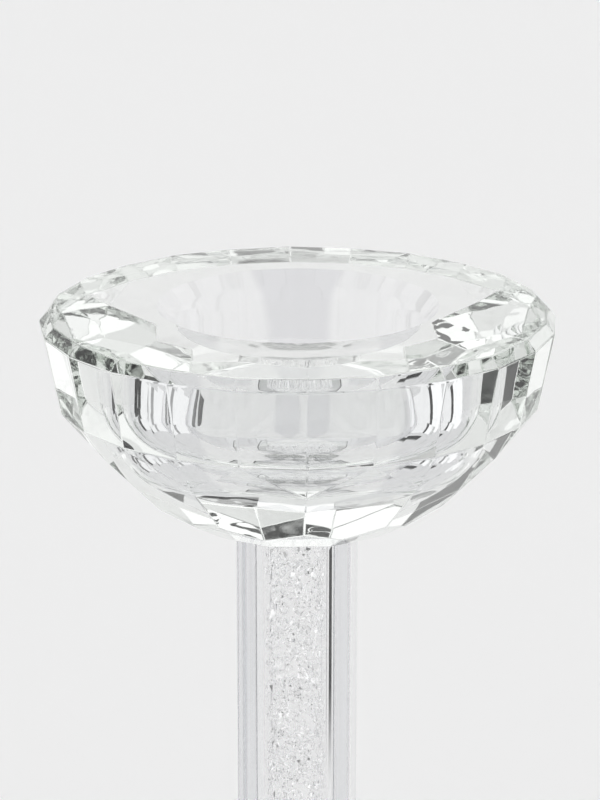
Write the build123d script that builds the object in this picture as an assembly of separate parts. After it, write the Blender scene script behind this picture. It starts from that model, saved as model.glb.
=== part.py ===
from build123d import *

import math
import os
import random

# Glass candlestick: a gem-cut bowl on a hollow square glass column filled with loose
# crystals, standing on a wider, flatter stone of the same cut.
# Millimetres, +Z up. The origin is the middle of the footprint, on the plane that the four
# bumper pads stand on.

# ---- driving dimensions ------------------------------------------------------------------

TOTAL_HEIGHT = 220.0
CUT_FOLDS = 12  # symmetry of the bowl's and the foot's facets
FIRST_FOLD = -13.0  # azimuth of fold number 0, in degrees

BOWL_RADIUS = 46.6  # girdle corners of the bowl
BOWL_HEIGHT = 39.6  # from the bowl's table to the small flat that the column meets
FOOT_RADIUS = 50.0
FOOT_HEIGHT = 22.0

SEAT_RADIUS = 22.2  # round seat for a tealight or a small pillar candle
SEAT_DEPTH = 20.6
SEAT_FLOOR_ROUND = 7.8  # polished round between the seat's wall and its floor
MOUTH_RADIUS = 25.4  # the seat flares to this radius at the table
MOUTH_DEPTH = 3.8

COLUMN_SIDE = 20.7
COLUMN_EDGE = 0.4  # bevel on the column's outer edges
CAVITY_SIDE = 15.0
CAVITY_ROUND = 4.4  # corner radius inside the column
COLUMN_TURN = -5.0  # degrees the column is turned about its axis

BOND_THICKNESS = 0.15  # clear adhesive film at each end of the column
BOND_SET_BACK = 0.2  # distance from the film's edge to the column's side

PAD_RADIUS = 5.0
PAD_THICKNESS = 1.0
PAD_CIRCLE = 33.0  # distance of each pad's centre from the axis
PAD_COUNT = 4

CRYSTAL_COUNT = 760
CRYSTAL_NODES = 8
CRYSTAL_GIRTH = (1.35, 1.7)  # smallest and largest radius of a crystal
CRYSTAL_GAP = 0.04  # clear space left round every crystal
CRYSTAL_SWEEPS = 160  # rounds of pushing apart crystals that touch
CRYSTAL_SEED = 20

# ---- the cuts ----------------------------------------------------------------------------
# Each row is a ring of flat facets: the tilt of its faces from the horizontal, one point
# (radius, height) on the middle of a face, how many faces it has, and where the first one
# points in fold steps. Heights are from the table, downwards negative.

FOLD_STEP = 360.0 / CUT_FOLDS
HALF = 0.5
QUARTER = 0.25

TABLE_CORNER = 27.7
MAIN_TILT = 1.2
HEXAGON_TOP = 37.4  # radius of the corner where a hexagon facet meets two main facets
GIRDLE_MIDDLE = 46.2  # radius at the middle of a girdle edge
GIRDLE_Z = -2.7


def main_height(radius):
    """Height of a main crown facet at a radius on its own middle line."""
    return -math.tan(math.radians(MAIN_TILT)) * (radius - TABLE_CORNER)


HEXAGON_TOP_Z = main_height(HEXAGON_TOP * math.cos(math.radians(FOLD_STEP / 2)))

BOWL_CROWN = (
    (0.7, 26.8, 0.0, CUT_FOLDS, 0.0),  # star facets round the table
    (MAIN_TILT, TABLE_CORNER, 0.0, CUT_FOLDS, HALF),  # main facets
    (4.2, HEXAGON_TOP, HEXAGON_TOP_Z, CUT_FOLDS, 0.0),  # hexagons
    (50.0, GIRDLE_MIDDLE, GIRDLE_Z, 2 * CUT_FOLDS, QUARTER),  # girdle facets
)
BOWL_PAVILION = (
    (79.0, GIRDLE_MIDDLE, GIRDLE_Z, 2 * CUT_FOLDS, QUARTER),  # tall side facets
    (55.0, 43.2, -17.2, 2 * CUT_FOLDS, QUARTER),
    (47.0, 39.7, -21.4, CUT_FOLDS, 0.0),
    (30.0, 27.5, -34.7, CUT_FOLDS, HALF),
)
FOOT_CROWN = ((45.0, 49.0, -0.8, 2 * CUT_FOLDS, QUARTER),)  # bevel under the foot's edge
FOOT_PAVILION = (
    (70.0, 49.4, -1.6, 2 * CUT_FOLDS, QUARTER),
    (42.0, 46.6, -9.0, 2 * CUT_FOLDS, QUARTER),
    (28.0, 37.5, -15.2, CUT_FOLDS, 0.0),
    (14.0, 25.0, -20.6, CUT_FOLDS, HALF),
)

# ---- heights that follow -----------------------------------------------------------------

FOOT_TABLE_Z = PAD_THICKNESS
FOOT_TOP_Z = FOOT_TABLE_Z + FOOT_HEIGHT
BOWL_TABLE_Z = TOTAL_HEIGHT
BOWL_BASE_Z = BOWL_TABLE_Z - BOWL_HEIGHT
COLUMN_LOW_Z = FOOT_TOP_Z + BOND_THICKNESS
COLUMN_HIGH_Z = BOWL_BASE_Z - BOND_THICKNESS
COLUMN_LENGTH = COLUMN_HIGH_Z - COLUMN_LOW_Z


def facet_plane(tilt, radius, height, azimuth, side):
    """The plane of one facet. side is 1 for a crown facet and -1 for a pavilion facet."""
    turn = math.radians(azimuth)
    lean = math.radians(tilt)
    out_x = math.cos(turn)
    out_y = math.sin(turn)
    normal = (math.sin(lean) * out_x, math.sin(lean) * out_y, side * math.cos(lean))
    return Plane(origin=(radius * out_x, radius * out_y, height), z_dir=normal)


def gem_cut(radius, height, crown, pavilion):
    """A round blank cut to the crown and pavilion rows, table upwards at height zero."""
    blank = Cylinder(radius + 1, height, align=(Align.CENTER, Align.CENTER, Align.MAX))
    for side, rows in ((1, crown), (-1, pavilion)):
        for tilt, face_radius, face_height, faces, first in rows:
            for index in range(faces):
                azimuth = FIRST_FOLD + FOLD_STEP * first + index * 360.0 / faces
                plane = facet_plane(tilt, face_radius, face_height, azimuth, side)
                blank = split(blank, bisect_by=plane, keep=Keep.BOTTOM)
    return blank


def candle_seat():
    """The round hollow that is ground out of the bowl, table at height zero."""
    over = 1.0  # the tool reaches this far above the table
    wall_top = (SEAT_RADIUS, -MOUTH_DEPTH)
    section = Polyline((MOUTH_RADIUS, 0), (MOUTH_RADIUS, over), (0, over), (0, -SEAT_DEPTH))
    section += Line((0, -SEAT_DEPTH), (SEAT_RADIUS - SEAT_FLOOR_ROUND, -SEAT_DEPTH))
    section += RadiusArc(
        (SEAT_RADIUS - SEAT_FLOOR_ROUND, -SEAT_DEPTH),
        (SEAT_RADIUS, SEAT_FLOOR_ROUND - SEAT_DEPTH),
        -SEAT_FLOOR_ROUND,
    )
    section += Line((SEAT_RADIUS, SEAT_FLOOR_ROUND - SEAT_DEPTH), wall_top)
    section += Line(wall_top, (MOUTH_RADIUS, 0))
    return revolve(make_face(Plane.XZ * section), Axis.Z)


def bowl():
    """The faceted bowl with its candle seat."""
    cut = gem_cut(BOWL_RADIUS, BOWL_HEIGHT, BOWL_CROWN, BOWL_PAVILION)
    return Pos(0, 0, BOWL_TABLE_Z) * (cut - candle_seat())


def foot():
    """The foot: a lower stone of the same kind, turned over so that its table is below."""
    cut = gem_cut(FOOT_RADIUS, FOOT_HEIGHT, FOOT_CROWN, FOOT_PAVILION)
    return Pos(0, 0, FOOT_TABLE_Z) * (Rot(180, 0, 0) * cut)


def column():
    """The hollow square glass column."""
    outline = RectangleRounded(CAVITY_SIDE, CAVITY_SIDE, CAVITY_ROUND)
    square = Rectangle(COLUMN_SIDE, COLUMN_SIDE)
    square = chamfer(square.vertices(), COLUMN_EDGE)
    wall = extrude(square - outline, COLUMN_LENGTH)
    return Pos(0, 0, COLUMN_LOW_Z) * (Rot(0, 0, COLUMN_TURN) * wall)


def bond(low_z):
    """A thin square frame of clear adhesive on one end of the column's wall."""
    side = COLUMN_SIDE - 2 * BOND_SET_BACK
    square = Rectangle(side, side)
    hole = RectangleRounded(CAVITY_SIDE, CAVITY_SIDE, CAVITY_ROUND)
    film = extrude(square - hole, BOND_THICKNESS)
    return Pos(0, 0, low_z) * (Rot(0, 0, COLUMN_TURN) * film)


def crystal(girth, sides):
    """One loose crystal: a flat table, a ring of crown facets and a pointed back."""
    turns = [index * 2 * math.pi / sides for index in range(sides)]
    table = [(0.6 * girth * math.cos(t), 0.6 * girth * math.sin(t), 0.4 * girth) for t in turns]
    girdle = [(girth * math.cos(t), girth * math.sin(t), 0.0) for t in turns]
    point = (0.0, 0.0, -0.8 * girth)
    faces = [flat_face(table)]
    for index in range(sides):
        following = (index + 1) % sides
        faces.append(flat_face((table[index], girdle[index], girdle[following], table[following])))
        faces.append(flat_face((girdle[index], point, girdle[following])))
    return Solid(Shell(faces))


def flat_face(corners):
    """A flat face with the given corners."""
    return Face(Wire.make_polygon([Vector(*corner) for corner in corners], close=True))


def keep_in_cavity(stone):
    """Move a stone [x, y, z, girth] back inside the column's cavity."""
    x, y, z, girth = stone
    room = girth + CRYSTAL_GAP
    reach = CAVITY_SIDE / 2 - room
    x = max(-reach, min(reach, x))
    y = max(-reach, min(reach, y))
    corner = CAVITY_SIDE / 2 - CAVITY_ROUND
    over_x = abs(x) - corner
    over_y = abs(y) - corner
    over = math.hypot(over_x, over_y)
    if over_x > 0 and over_y > 0 and over > CAVITY_ROUND - room:
        scale = (CAVITY_ROUND - room) / over
        x = math.copysign(corner + over_x * scale, x)
        y = math.copysign(corner + over_y * scale, y)
    stone[0] = x
    stone[1] = y
    stone[2] = max(COLUMN_LOW_Z + room, min(COLUMN_HIGH_Z - room, z))


def push_apart(stones):
    """One round of pushing apart the stones that touch. The list comes sorted by height."""
    for index, first in enumerate(stones):
        for second in stones[index + 1:]:
            if second[2] - first[2] > 2 * (CRYSTAL_GIRTH[1] + CRYSTAL_GAP):
                break
            gap = [second[axis] - first[axis] for axis in range(3)]
            distance = math.sqrt(sum(part * part for part in gap))
            overlap = first[3] + second[3] + CRYSTAL_GAP - distance
            if overlap > 0:
                for axis in range(3):
                    shift = gap[axis] / distance * overlap / 2
                    first[axis] -= shift
                    second[axis] += shift


def clear_girth(stone, stones):
    """The stone's girth, made smaller where a neighbour is still too near."""
    girth = stone[3]
    for other in stones:
        if other is not stone and abs(other[2] - stone[2]) < 2 * CRYSTAL_GIRTH[1]:
            distance = math.dist(stone[:3], other[:3])
            girth = min(girth, (distance - CRYSTAL_GAP) * stone[3] / (stone[3] + other[3]))
    return girth


def settled_stones():
    """Places and girths of all crystals, from the bottom up, scattered and then pushed apart."""
    rng = random.Random(CRYSTAL_SEED)
    stones = []
    for index in range(CRYSTAL_COUNT):
        x = rng.uniform(-0.5, 0.5) * CAVITY_SIDE
        y = rng.uniform(-0.5, 0.5) * CAVITY_SIDE
        z = COLUMN_LOW_Z + COLUMN_LENGTH * (index + rng.random()) / CRYSTAL_COUNT
        stones.append([x, y, z, rng.uniform(*CRYSTAL_GIRTH)])
    for sweep in range(CRYSTAL_SWEEPS):
        stones.sort(key=lambda stone: stone[2])
        push_apart(stones)
        for stone in stones:
            keep_in_cavity(stone)
    stones.sort(key=lambda stone: stone[2])
    return [(*stone[:3], clear_girth(stone, stones)) for stone in stones]


def placed_crystals():
    """Every crystal as a solid in its place, from the bottom up."""
    rng = random.Random(CRYSTAL_SEED)
    crystals = []
    for x, y, z, girth in settled_stones():
        tumble = Rot(rng.uniform(0, 360), rng.uniform(0, 360), rng.uniform(0, 360))
        stone = Pos(x, y, z) * tumble * crystal(girth, rng.choice((5, 6)))
        crystals.append(Rot(0, 0, COLUMN_TURN) * stone)
    return crystals


def bumper_pad(index):
    """One round clear pad under the foot, domed a little on its edge."""
    turn = math.radians(45 + index * 360.0 / PAD_COUNT)
    pad = Cylinder(PAD_RADIUS, PAD_THICKNESS, align=(Align.CENTER, Align.CENTER, Align.MIN))
    lower_edge = pad.edges().filter_by(GeomType.CIRCLE).sort_by(Axis.Z)[0]
    pad = fillet(lower_edge, PAD_THICKNESS * 0.4)
    return Pos(PAD_CIRCLE * math.cos(turn), PAD_CIRCLE * math.sin(turn), 0) * pad


def write(name, shape):
    """Write one sub-part."""
    shape.label = name
    export_step(shape, f"parts/{name}.step")


os.makedirs("parts", exist_ok=True)

write("bowl", bowl())
write("foot", foot())
write("column", column())
write("upper_bond", bond(COLUMN_HIGH_Z))
write("lower_bond", bond(FOOT_TOP_Z))

crystals = placed_crystals()
for group in range(CRYSTAL_NODES):
    low = group * len(crystals) // CRYSTAL_NODES
    high = (group + 1) * len(crystals) // CRYSTAL_NODES
    write(f"crystals_{group + 1}", Compound(crystals[low:high]))

for number in range(PAD_COUNT):
    write(f"bumper_pad_{number + 1}", bumper_pad(number))
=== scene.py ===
import math

import bmesh
import bpy
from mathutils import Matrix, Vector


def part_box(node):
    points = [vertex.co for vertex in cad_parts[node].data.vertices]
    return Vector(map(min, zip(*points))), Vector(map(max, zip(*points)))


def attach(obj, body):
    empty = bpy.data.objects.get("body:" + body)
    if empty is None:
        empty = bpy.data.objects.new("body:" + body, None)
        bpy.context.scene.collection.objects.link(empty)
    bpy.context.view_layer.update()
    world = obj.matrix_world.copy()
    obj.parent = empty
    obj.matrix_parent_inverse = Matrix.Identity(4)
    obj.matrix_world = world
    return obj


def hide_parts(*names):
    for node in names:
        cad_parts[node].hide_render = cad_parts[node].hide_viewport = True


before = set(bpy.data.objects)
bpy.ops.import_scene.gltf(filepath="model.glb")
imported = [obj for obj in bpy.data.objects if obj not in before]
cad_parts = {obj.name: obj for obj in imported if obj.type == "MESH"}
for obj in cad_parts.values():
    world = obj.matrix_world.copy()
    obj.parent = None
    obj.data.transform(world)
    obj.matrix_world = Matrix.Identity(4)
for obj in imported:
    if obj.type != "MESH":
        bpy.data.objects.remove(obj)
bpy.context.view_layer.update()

# ---- places, from the frame ---------------------------------------------------------------

CROWN_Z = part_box("bowl")[1][2]

# ---- camera -------------------------------------------------------------------------------

CAMERA_DISTANCE = 0.513
CAMERA_ELEVATION = math.radians(15.3)
CAMERA_LENS = 171.0
AIM_BELOW = math.radians(1.93)  # the camera aims this far below the middle of the crown
AIM_RIGHT = math.radians(0.04)
SENSOR_WIDTH = 36.0
CLIP_NEAR = 0.01
CLIP_FAR = 50.0


def make_camera():
    """A long lens in front of the bowl, a little above its rim."""
    data = bpy.data.cameras.new("camera")
    data.sensor_fit = "HORIZONTAL"
    data.sensor_width = SENSOR_WIDTH
    data.lens = CAMERA_LENS
    data.clip_start = CLIP_NEAR
    data.clip_end = CLIP_FAR
    camera = bpy.data.objects.new("camera", data)
    bpy.context.collection.objects.link(camera)
    camera.location = (
        0.0,
        -CAMERA_DISTANCE * math.cos(CAMERA_ELEVATION),
        CROWN_Z + CAMERA_DISTANCE * math.sin(CAMERA_ELEVATION),
    )
    pitch = CAMERA_ELEVATION + AIM_BELOW
    camera.rotation_euler = (math.pi / 2 - pitch, 0.0, -AIM_RIGHT)
    bpy.context.scene.camera = camera


# ---- node helpers -------------------------------------------------------------------------


class Nodes:
    """A short way to write a node tree."""

    def __init__(self, tree):
        self.tree = tree
        tree.nodes.clear()

    def add(self, kind, **settings):
        """A new node; each setting is the input of that name, or else a property."""
        node = self.tree.nodes.new(kind)
        for name, value in settings.items():
            if name in node.inputs:
                self.put(node.inputs[name], value)
            else:
                setattr(node, name, value)
        return node

    def put(self, socket, value):
        """Link another node's output to the socket, or set the socket's own value."""
        if isinstance(value, bpy.types.NodeSocket):
            self.tree.links.new(value, socket)
        else:
            socket.default_value = value

    def math(self, operation, first, second=0.0, third=0.0):
        node = self.tree.nodes.new("ShaderNodeMath")
        node.operation = operation
        for index, value in enumerate((first, second, third)):
            self.put(node.inputs[index], value)
        return node.outputs[0]

    def times(self, first, second):
        return self.math("MULTIPLY", first, second)

    def minus(self, first, second):
        return self.math("SUBTRACT", first, second)

    def vector(self, operation, *values):
        node = self.tree.nodes.new("ShaderNodeVectorMath")
        node.operation = operation
        for index, value in enumerate(values):
            self.put(node.inputs[index], value)
        return node.outputs[0]

    def split(self, vector):
        node = self.tree.nodes.new("ShaderNodeSeparateXYZ")
        self.put(node.inputs[0], vector)
        return node.outputs

    def step(self, value, start, end):
        """A soft step: 0 before start, 1 past end. With end below start it falls instead."""
        node = self.tree.nodes.new("ShaderNodeMapRange")
        node.interpolation_type = "SMOOTHSTEP"
        self.put(node.inputs["Value"], value)
        node.inputs["From Min"].default_value = start
        node.inputs["From Max"].default_value = end
        return node.outputs["Result"]

    def dim(self, light, share, left):
        """The light, brought down to the part left where share is 1."""
        return self.times(light, self.minus(1.0, self.times(share, 1.0 - left)))

    def mix(self, factor, first, second):
        node = self.tree.nodes.new("ShaderNodeMix")
        node.data_type = "RGBA"
        self.put(node.inputs["Factor"], factor)
        node.inputs[MIX_FIRST].default_value = first
        node.inputs[MIX_SECOND].default_value = second
        return node.outputs[MIX_COLOUR]

    def surface(self, shader):
        """Send a shader to the material's output, and give that output node."""
        out = self.tree.nodes.new("ShaderNodeOutputMaterial")
        self.put(out.inputs["Surface"], shader.outputs[0])
        return out


MIX_FIRST = 6  # the Mix node's two colour inputs and its colour output
MIX_SECOND = 7
MIX_COLOUR = 2


def new_material(name):
    material = bpy.data.materials.new(name)
    material.use_nodes = True
    return material, Nodes(material.node_tree)


def add_object(name, mesh):
    made = bpy.data.objects.new(name, mesh)
    bpy.context.collection.objects.link(made)
    return made


def shade(value):
    return (value, value, value, 1.0)


# ---- studio -------------------------------------------------------------------------------

BASE_LIGHT = 0.885
WARP = 0.10  # how far the edges in the studio wander
WARP_SCALE = 11.0
WARP_DETAIL = 4.0
WARP_ROUGHNESS = 0.65
PLAIN_BELOW = 0.30  # sine of the elevation under which the studio is plain from every side
PLAIN_EDGE = 0.05

PANEL_LIGHT = 1.28
PANELS = 5.0  # bright panels round the upper part of the studio
PANEL_PHASE = 0.3
PANEL_EDGE = 0.25
PANEL_SOFT = 0.04
SLOT_LIGHT = 0.04  # narrow dark gaps beside the panels
SLOT_WIDTH = 0.10
SLOT_SOFT = 0.8
SLOT_TOP = 0.97
SLOT_FADE = 0.93

# Two dark openings high up at the sides, one over the other, with toothed edges.
SHADE_LIGHT = 0.05
SHADE_FRONT = math.cos(math.radians(48.0))
SHADE_BACK = math.cos(math.radians(112.0))
SHADE_LOW = math.sin(math.radians(49.0))
SHADE_LOW_TEETH = math.sin(math.radians(56.0))
SHADE_HIGH_TEETH = math.sin(math.radians(72.0))
SHADE_BACK_TEETH = math.sin(math.radians(63.0))
SHADE_HIGH = math.sin(math.radians(80.0))
SIDE_SOFT = 0.06
FOOT_SOFT = 0.02
TOP_SOFT = 0.01
TURN_SOFT = 0.1
TEETH = 110.0
TEETH_DEPTH = 0.035
TEETH_SOFT = 0.2
SMALL = 0.001


def panels_and_gaps(nodes, azimuth, z):
    """The light of the bright panels and of the dark gaps beside them."""
    wave = nodes.math("SINE", nodes.math("MULTIPLY_ADD", azimuth, PANELS, PANEL_PHASE))
    high = nodes.step(z, PLAIN_BELOW, PLAIN_BELOW + PLAIN_EDGE)
    panel = nodes.times(nodes.step(wave, PANEL_EDGE - PANEL_SOFT, PANEL_EDGE + PANEL_SOFT), high)
    gap = nodes.math("ABSOLUTE", nodes.minus(wave, PANEL_EDGE))
    slot = nodes.step(gap, SLOT_WIDTH, SLOT_WIDTH * SLOT_SOFT)
    slot = nodes.times(slot, nodes.times(high, nodes.step(z, SLOT_TOP, SLOT_FADE)))
    light = nodes.math("MULTIPLY_ADD", panel, PANEL_LIGHT - BASE_LIGHT, BASE_LIGHT)
    return nodes.dim(light, slot, SLOT_LIGHT)


def dark_openings(nodes, azimuth, x, y, z):
    """1 inside the two dark openings, 0 outside."""
    flat = nodes.math("SQRT", nodes.math("MULTIPLY_ADD", x, x, nodes.times(y, y)))
    side = nodes.math("DIVIDE", y, nodes.math("MAXIMUM", flat, SMALL))
    teeth = nodes.math("SINE", nodes.times(azimuth, TEETH))
    rise = nodes.math("DIVIDE", nodes.minus(z, SHADE_LOW_TEETH), TEETH_DEPTH)
    lower = nodes.times(
        nodes.step(nodes.minus(teeth, rise), 0.0, TEETH_SOFT),
        nodes.step(z, SHADE_LOW, SHADE_LOW + FOOT_SOFT),
    )
    behind = nodes.step(side, 0.0, -TURN_SOFT)
    edge = nodes.math(
        "MULTIPLY_ADD", behind, SHADE_BACK_TEETH - SHADE_HIGH_TEETH, SHADE_HIGH_TEETH
    )
    rise = nodes.math("DIVIDE", nodes.minus(z, edge), TEETH_DEPTH / 2)
    upper = nodes.times(
        nodes.step(nodes.math("ADD", teeth, rise), 0.0, TEETH_SOFT),
        nodes.step(z, SHADE_HIGH, SHADE_HIGH - TOP_SOFT),
    )
    width = nodes.times(
        nodes.step(side, SHADE_BACK, SHADE_BACK + SIDE_SOFT),
        nodes.step(side, SHADE_FRONT, SHADE_FRONT - SIDE_SOFT),
    )
    return nodes.times(width, nodes.math("MAXIMUM", lower, upper))


def make_world():
    """Soft light from all round, with bright panels, dark gaps and two dark openings high up."""
    world = bpy.data.worlds.new("studio")
    bpy.context.scene.world = world
    world.use_nodes = True
    nodes = Nodes(world.node_tree)
    place = nodes.add("ShaderNodeTexCoord").outputs["Generated"]
    drift = nodes.add(
        "ShaderNodeTexNoise", Vector=place, Scale=WARP_SCALE, Detail=WARP_DETAIL,
        Roughness=WARP_ROUGHNESS,
    )
    moved = nodes.vector("MULTIPLY_ADD", drift.outputs["Color"], (WARP, WARP, WARP), place)
    centred = nodes.vector("SUBTRACT", moved, (WARP / 2, WARP / 2, WARP / 2))
    x, y, z = nodes.split(nodes.vector("NORMALIZE", centred))
    azimuth = nodes.math("ARCTAN2", y, x)
    light = panels_and_gaps(nodes, azimuth, z)
    light = nodes.dim(light, dark_openings(nodes, azimuth, x, y, z), SHADE_LIGHT)
    grey = nodes.add("ShaderNodeCombineColor", Red=light, Green=light, Blue=light)
    back = nodes.add("ShaderNodeBackground", Color=grey.outputs[0])
    nodes.add("ShaderNodeOutputWorld", Surface=back.outputs[0])


FLOOR_RADIUS = 6.0
FLOOR_SIDES = 96
FLOOR_ALBEDO = 0.92
FLOOR_SPREAD = 0.004


def make_floor():
    """A plain pale floor."""
    mesh = bpy.data.meshes.new("floor")
    turns = [index * math.tau / FLOOR_SIDES for index in range(FLOOR_SIDES)]
    ring = [(FLOOR_RADIUS * math.cos(turn), FLOOR_RADIUS * math.sin(turn), 0.0) for turn in turns]
    mesh.from_pydata(ring, [], [tuple(range(FLOOR_SIDES))])
    floor = add_object("floor", mesh)
    material, nodes = new_material("pale_floor")
    grain = nodes.add("ShaderNodeTexNoise", Scale=40.0, Detail=3.0)
    pale = nodes.mix(
        grain.outputs["Fac"], shade(FLOOR_ALBEDO - FLOOR_SPREAD), shade(FLOOR_ALBEDO + FLOOR_SPREAD)
    )
    nodes.surface(nodes.add("ShaderNodeBsdfDiffuse", Color=pale))
    mesh.materials.append(material)


CARD_DISTANCE = 0.62
CARD_FOOT = 0.001
CARD_TOP = 0.75
CARD_STEPS = 6
# Upright cards that only the glass picks up: middle azimuth clockwise from +Y and width, in
# degrees, and the light they give.
CARDS = (
    ("left_far_card", -77.5, 23.0, 1.15),
    ("left_stripe", -63.0, 5.8, 0.45),
    ("left_card", -51.5, 17.0, 1.15),
    ("left_gap", -37.0, 10.0, 0.05),
    ("right_card", 50.5, 17.0, 1.3),
    ("right_gap", 62.0, 5.8, 0.05),
    ("right_far_card", 78.5, 27.0, 1.1),
    ("right_far_gap", 96.0, 5.0, 0.03),
    ("back_left_card", 246.0, 36.0, 1.0),
    ("back_right_card", 118.0, 36.0, 1.0),
)
# One small dark card stands closer, and lightens towards its lower edge.
NEAR_CARD = ("near_gap", 77.0, 34.0, 0.05)
NEAR_DISTANCE = 0.20
NEAR_FOOT = 0.035
NEAR_TOP = 0.105


def make_card(
    name, middle, width, light, foot=CARD_FOOT, top=CARD_TOP, distance=CARD_DISTANCE, foot_light=None
):
    """An upright arc; with foot_light its light fades to that value towards the lower edge."""
    corners = []
    for index in range(CARD_STEPS + 1):
        turn = math.radians(middle + width * (index / CARD_STEPS - 0.5))
        x = distance * math.sin(turn)
        y = distance * math.cos(turn)
        corners += [(x, y, foot), (x, y, top)]
    faces = [(2 * i, 2 * i + 2, 2 * i + 3, 2 * i + 1) for i in range(CARD_STEPS)]
    mesh = bpy.data.meshes.new(name)
    mesh.from_pydata(corners, [], faces)
    card = add_object(name, mesh)
    card.visible_camera = False
    card.visible_diffuse = False
    card.visible_shadow = False
    material, nodes = new_material(name)
    strength = light
    if foot_light is not None:
        place = nodes.add("ShaderNodeTexCoord")
        height = nodes.split(place.outputs["Object"])[2]
        fade = nodes.step(height, (foot + top) / 2, foot)
        strength = nodes.math("MULTIPLY_ADD", fade, foot_light - light, light)
    nodes.surface(nodes.add("ShaderNodeEmission", Color=shade(1.0), Strength=strength))
    mesh.materials.append(material)


# ---- materials ----------------------------------------------------------------------------

GLASS_IOR = 1.52
TINT_SCALE = 25.0  # cloud size of the slow change between a glass's two tints
PAINTED_REFLECTION_LOBE_START = 0.62  # where a lobe of painted reflection begins and where it is full
PAINTED_REFLECTION_LOBE_FULL = 0.38
CLOUD_SCALE = 400.0
MILK_SHARE = 0.5


def glass(name, tints_and_painted_reflection, waviness=0.0, wave_scale=60.0, absorb=None, painted_reflection_lobes=0):
    """Clear glass. waviness is the height of its slow surface waves in metres. A lobe count paints a
    reflection into the tint, as that many soft grey lobes round the upright axis.
    """
    material, nodes = new_material(name)
    place = nodes.add("ShaderNodeTexCoord").outputs["Object"]
    drift = nodes.add("ShaderNodeTexNoise", Vector=place, Scale=TINT_SCALE, Detail=1.0)
    amount = drift.outputs["Fac"]
    # Painted reflection: the first, darker tint is laid in soft lobes round the upright axis.
    if painted_reflection_lobes:
        x, y, _ = nodes.split(place)
        wave = nodes.math("COSINE", nodes.times(nodes.math("ARCTAN2", x, y), painted_reflection_lobes))
        wave = nodes.math("ADD", wave, nodes.minus(amount, 0.5))
        amount = nodes.step(wave, PAINTED_REFLECTION_LOBE_START, PAINTED_REFLECTION_LOBE_FULL)
    tint_and_painted_reflection = nodes.mix(amount, *tints_and_painted_reflection)
    shader = nodes.add("ShaderNodeBsdfGlass", Color=tint_and_painted_reflection, Roughness=0.0, IOR=GLASS_IOR)
    if waviness:
        waves = nodes.add("ShaderNodeTexNoise", Vector=place, Scale=wave_scale, Detail=0.5)
        bump = nodes.add("ShaderNodeBump", Height=waves.outputs["Fac"], Distance=waviness)
        nodes.put(shader.inputs["Normal"], bump.outputs["Normal"])
    out = nodes.surface(shader)
    if absorb:
        colour, density = absorb
        volume = nodes.add("ShaderNodeVolumeAbsorption", Color=colour, Density=density)
        nodes.put(out.inputs["Volume"], volume.outputs[0])
    return material


def blend(nodes, share, first, second):
    """The first shader, with the given share of the second."""
    node = nodes.add("ShaderNodeMixShader")
    for socket, value in zip(node.inputs, (share, first.outputs[0], second.outputs[0])):
        nodes.put(socket, value)
    return node


def cloudy(name, dull, pale, sheen_share, sheen_roughness):
    """Adhesive or soft clear rubber: lightly clouded, it passes light but no clear image."""
    material, nodes = new_material(name)
    place = nodes.add("ShaderNodeTexCoord").outputs["Object"]
    cloud = nodes.add("ShaderNodeTexNoise", Vector=place, Scale=CLOUD_SCALE, Detail=3.0)
    colour = nodes.mix(cloud.outputs["Fac"], dull, pale)
    through = nodes.add("ShaderNodeBsdfTranslucent", Color=colour)
    off = nodes.add("ShaderNodeBsdfDiffuse", Color=colour)
    sheen = nodes.add("ShaderNodeBsdfGlossy", Color=pale, Roughness=sheen_roughness)
    milk = blend(nodes, MILK_SHARE, through, off)
    nodes.surface(blend(nodes, sheen_share, milk, sheen))
    return material


def give(node, material):
    """Put the material on a CAD node that stays visible as it is."""
    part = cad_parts[node]
    part.data.materials.clear()
    part.data.materials.append(material)


# ---- cut stones, adhesive films and pads --------------------------------------------------

EDGE_WIDTH = 0.00022  # polished rounding of the facet edges
WELD = 1e-6
FLAT_ANGLE = math.radians(0.12)  # faces that meet flatter than this are one facet
MOUTH_RADIUS = 0.0254  # the candle seat lies inside this radius
SEAT_DEPTH = 0.0208  # and above this depth
TABLE_WIDTH = 0.0026  # the narrow flat round the mouth
TABLE_DROP = 0.0002
FILM_CLEARANCE = 0.00002
FILM_SHARE = 0.97  # of the bond's width
PAD_CLEARANCE = 0.00003
PAD_SIDES = 48
PAD_PROFILE = ((0.86, 0.0), (0.94, 0.12), (0.99, 0.4), (1.0, 1.0))  # share of radius and height


def in_seat(face, top, mouth_radius, seat_depth):
    """True for a face of the candle seat."""
    middle = face.calc_center_median()
    return math.hypot(middle.x, middle.y) < mouth_radius and middle.z > top - seat_depth


def in_table(vert, top, mouth_radius):
    """True for a corner of the narrow table round the mouth."""
    near = math.hypot(vert.co.x, vert.co.y) < mouth_radius + TABLE_WIDTH
    return near and vert.co.z > top - TABLE_DROP


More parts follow.
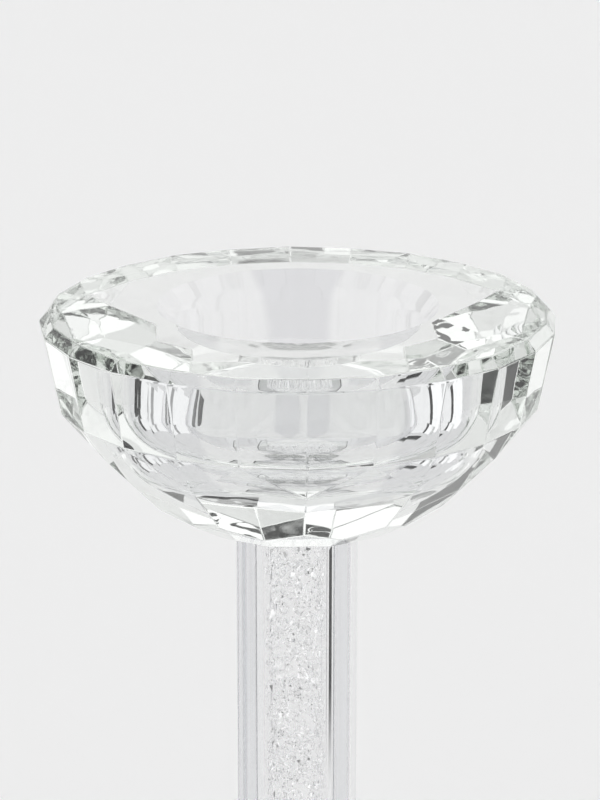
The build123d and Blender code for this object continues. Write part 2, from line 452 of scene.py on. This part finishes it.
def cut_stone(node, name, materials, mouth_radius=0.0, seat_depth=0.0):
    """The CAD stone with its facet edges rounded by polishing; the last material is the seat's."""
    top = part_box(node)[1][2]
    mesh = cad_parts[node].data.copy()
    mesh.name = name
    mesh.materials.clear()  # before the faces get their material indices
    work = bmesh.new()
    work.from_mesh(mesh)
    bmesh.ops.remove_doubles(work, verts=work.verts, dist=WELD)
    outer = [v for v in work.verts if not in_table(v, top, mouth_radius)]
    kept = set(outer)
    spans = [e for e in work.edges if kept.issuperset(e.verts)]
    bmesh.ops.dissolve_limit(work, angle_limit=FLAT_ANGLE, verts=outer, edges=spans)
    seat = [f for f in work.faces if in_seat(f, top, mouth_radius, seat_depth)]
    for face in work.faces:
        face.smooth = False
    for face in seat:
        face.smooth = True
        face.material_index = len(materials) - 1
    seat = set(seat)
    edges = []
    for edge in work.edges:
        if len(edge.link_faces) == 2 and not seat.intersection(edge.link_faces):
            shallow = any(in_table(v, top, mouth_radius) for v in edge.verts)
            if edge.calc_face_angle() > FLAT_ANGLE and not shallow:
                edges.append(edge)
    made = bmesh.ops.bevel(
        work, geom=edges, offset=EDGE_WIDTH, offset_type="OFFSET", segments=2, profile=0.5,
        affect="EDGES", clamp_overlap=True,
    )
    for face in made["faces"]:
        face.smooth = True
    bmesh.ops.recalc_face_normals(work, faces=work.faces)
    work.to_mesh(mesh)
    work.free()
    for material in materials:
        mesh.materials.append(material)
    stone = add_object(name, mesh)
    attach(stone, "root")
    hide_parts(node)


def adhesive_film(node, name, material):
    """The film between a stone and the column end, just clear of both polished faces."""
    low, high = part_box(node)
    middle = [(low[axis] + high[axis]) / 2 for axis in range(3)]
    rise = 1.0 - 2 * FILM_CLEARANCE / (high[2] - low[2])
    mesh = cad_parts[node].data.copy()
    mesh.name = name
    mesh.materials.clear()
    for vert in mesh.vertices:
        for axis, share in enumerate((FILM_SHARE, FILM_SHARE, rise)):
            vert.co[axis] = middle[axis] + (vert.co[axis] - middle[axis]) * share
    mesh.materials.append(material)
    film = add_object(name, mesh)
    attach(film, "root")
    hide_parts(node)


def pad_disc(node, name, material):
    """A soft clear disc under the foot, narrower below, just clear of the glass above it."""
    low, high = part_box(node)
    middle = [(low[axis] + high[axis]) / 2 for axis in range(2)]
    radius = (high[0] - low[0]) / 2
    height = high[2] - low[2] - PAD_CLEARANCE
    corners = []
    faces = []
    for reach, rise in PAD_PROFILE:
        for index in range(PAD_SIDES):
            turn = index * math.tau / PAD_SIDES
            x = middle[0] + radius * reach * math.cos(turn)
            y = middle[1] + radius * reach * math.sin(turn)
            corners.append((x, y, low[2] + height * rise))
    for ring in range(len(PAD_PROFILE) - 1):
        for index in range(PAD_SIDES):
            after = (index + 1) % PAD_SIDES
            first = ring * PAD_SIDES
            upper = first + PAD_SIDES
            faces.append((first + index, first + after, upper + after, upper + index))
    faces.append(tuple(reversed(range(PAD_SIDES))))
    faces.append(tuple(range(len(corners) - PAD_SIDES, len(corners))))
    mesh = bpy.data.meshes.new(name)
    mesh.from_pydata(corners, [], faces)
    mesh.materials.append(material)
    disc = add_object(name, mesh)
    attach(disc, "root")
    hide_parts(node)


# ---- the whole scene ----------------------------------------------------------------------

BOUNCES = 32
GLOSSY_BOUNCES = 16

make_camera()
make_world()
make_floor()
for card in CARDS:
    make_card(*card)
make_card(*NEAR_CARD, NEAR_FOOT, NEAR_TOP, NEAR_DISTANCE, BASE_LIGHT)

scene = bpy.context.scene
scene.view_settings.view_transform = "Standard"
scene.cycles.max_bounces = BOUNCES
scene.cycles.transmission_bounces = BOUNCES
scene.cycles.glossy_bounces = GLOSSY_BOUNCES

CUT_GLASS = glass(
    "clear_cut_glass", (shade(1.0), (0.985, 0.99, 0.985, 1.0)), waviness=0.00006,
    wave_scale=150.0, absorb=((0.91, 0.92, 0.91, 1.0), 15.0),
)
# Painted reflection: the seat's glass carries a lavender grey in three soft lobes, standing for a
# grey reflection on the back wall of the seat; clear glass has no such tint.
SEAT_GLASS_PAINTED_REFLECTION = glass(
    "seat_glass_painted_reflection", ((0.86, 0.86, 0.878, 1.0), (0.97, 0.97, 0.976, 1.0)), waviness=0.0001,
    wave_scale=90.0, painted_reflection_lobes=3,
)
COLUMN_GLASS = glass(
    "column_glass", (shade(1.0), shade(0.99)), waviness=0.00001, wave_scale=30.0,
    absorb=((0.90, 0.905, 0.915, 1.0), 75.0),
)
CRYSTAL_GLASS = glass("crystals", (shade(1.0), shade(0.99)))
ADHESIVE = cloudy("adhesive_film", shade(0.93), shade(0.97), 0.65, 0.12)
PAD_RUBBER = cloudy("soft_pad", shade(0.86), shade(0.92), 0.12, 0.3)

cut_stone("bowl", "cut_bowl", (CUT_GLASS, SEAT_GLASS_PAINTED_REFLECTION), MOUTH_RADIUS, SEAT_DEPTH)
cut_stone("foot", "cut_foot", (CUT_GLASS,))
adhesive_film("upper_bond", "upper_film", ADHESIVE)
adhesive_film("lower_bond", "lower_film", ADHESIVE)
give("column", COLUMN_GLASS)
for name in sorted(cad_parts):
    if name.startswith("crystals"):
        give(name, CRYSTAL_GLASS)
    elif name.startswith("bumper_pad"):
        pad_disc(name, name.replace("bumper", "soft"), PAD_RUBBER)
